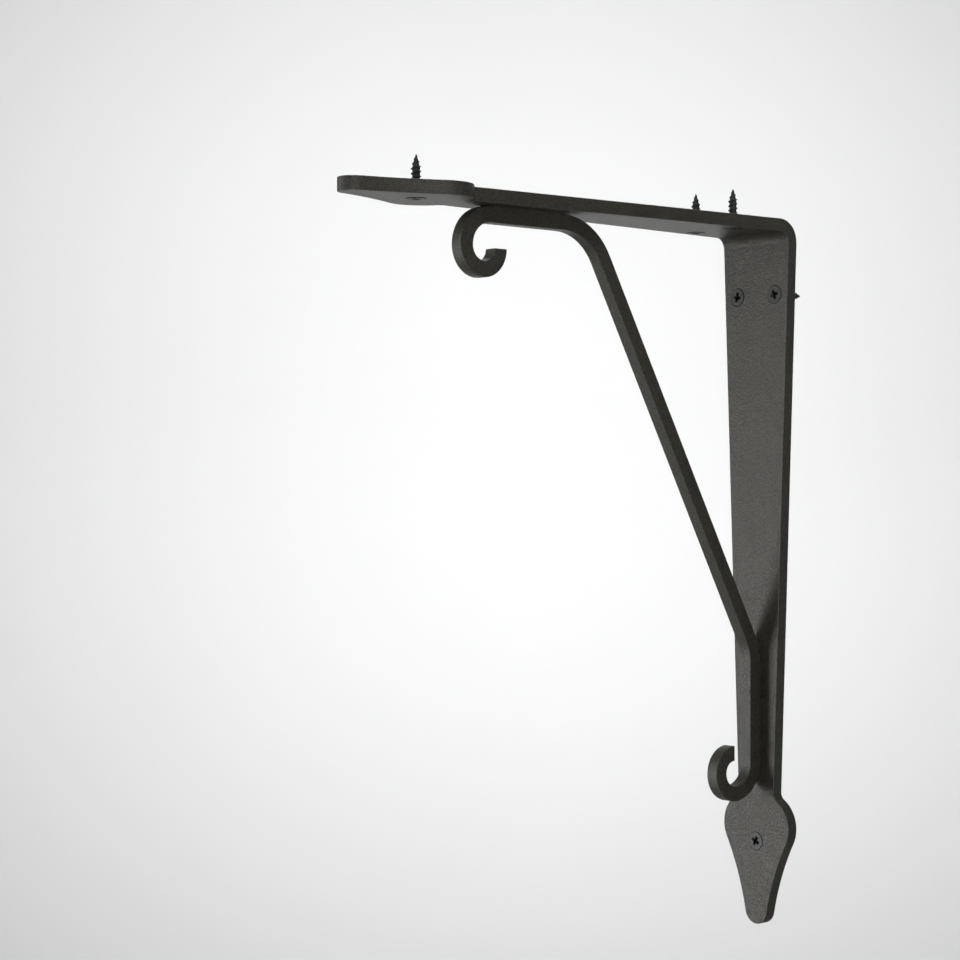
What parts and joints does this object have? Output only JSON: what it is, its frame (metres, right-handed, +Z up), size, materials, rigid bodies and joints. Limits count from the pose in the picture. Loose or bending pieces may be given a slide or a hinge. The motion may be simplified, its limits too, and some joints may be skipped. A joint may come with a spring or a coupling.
{
  "type": "shelf bracket",
  "caption": "Black coated steel shelf bracket: a bent flat strap with spade-shaped ends, a scrolled diagonal brace and countersunk screws.",
  "frame": {"origin": "back face of the wall leg, midway between the two upper wall screws", "axes": "+Y into the wall, +Z up towards the shelf, +X to the right for someone who faces the wall"},
  "size_m": [0.0442, 0.2849, 0.369],
  "materials": {
    "powder_coat": "satin charcoal-black powder coat with a fine grain",
    "screw_finish": "black finish, a little smoother and cooler than the coat"
  },
  "bodies": {
    "root": {"strap": "powder_coat", "scroll_brace": "powder_coat", "wall_screw_left": "screw_finish", "wall_screw_right": "screw_finish", "wall_screw_finial": "screw_finish", "shelf_screw_left": "screw_finish", "shelf_screw_right": "screw_finish", "shelf_screw_finial": "screw_finish"}
  },
  "joints": []
}
